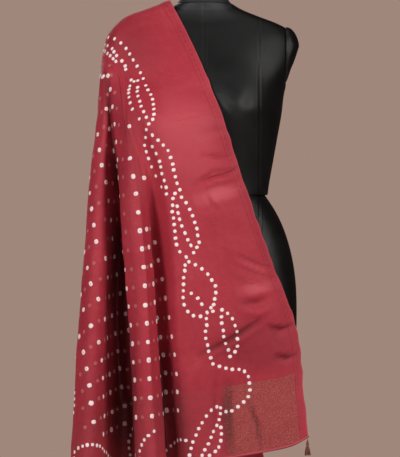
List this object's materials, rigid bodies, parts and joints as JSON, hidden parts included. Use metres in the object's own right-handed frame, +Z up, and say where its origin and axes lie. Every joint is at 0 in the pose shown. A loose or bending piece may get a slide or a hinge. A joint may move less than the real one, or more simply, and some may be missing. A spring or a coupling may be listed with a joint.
{
  "type": "dupatta stole on limbless dress form stand",
  "caption": "Tie-dyed dupatta stole with metallic end bands and tassels, draped over one shoulder of a limbless dress form on a pole and round base.",
  "frame": {"origin": "centre of the flat underside of the round base, below the pole", "axes": "+Z up along the pole, -Y out of the front of the dress form, -X towards the covered right shoulder"},
  "size_m": [0.4633, 0.4383, 1.6],
  "materials": {
    "cloth": "soft matt",
    "zari": "glittering copper weave",
    "tassel": "matt thread",
    "jersey": "satin stretch jersey",
    "neck": "satin",
    "steel": "satin",
    "enamel": "satin"
  },
  "bodies": {
    "root": {"shoulder_stretch": "cloth", "front_panel": "cloth", "front_folds": "cloth", "side_front_folds": "cloth", "side_cascade": "cloth", "back_folds": "cloth", "back_panel": "cloth", "front_end_band": "zari", "back_end_band": "zari", "front_rolled_hem": "cloth", "back_rolled_hem": "cloth", "front_tassel_1": "tassel", "front_tassel_2": "tassel", "front_tassel_3": "tassel", "front_tassel_4": "tassel", "front_tassel_5": "tassel", "front_tassel_6": "tassel", "front_tassel_7": "tassel", "front_tassel_8": "tassel", "back_tassel_1": "tassel", "back_tassel_2": "tassel", "back_tassel_3": "tassel", "back_tassel_4": "tassel", "back_tassel_5": "tassel", "back_tassel_6": "tassel", "back_tassel_7": "tassel", "back_tassel_8": "tassel", "form_bodice": "jersey", "form_hips": "jersey", "form_cap_left": "jersey", "form_cap_right": "jersey", "form_neck": "neck", "stand_pole": "steel", "stand_socket": "enamel", "stand_collar": "enamel", "stand_base": "enamel"}
  },
  "joints": []
}
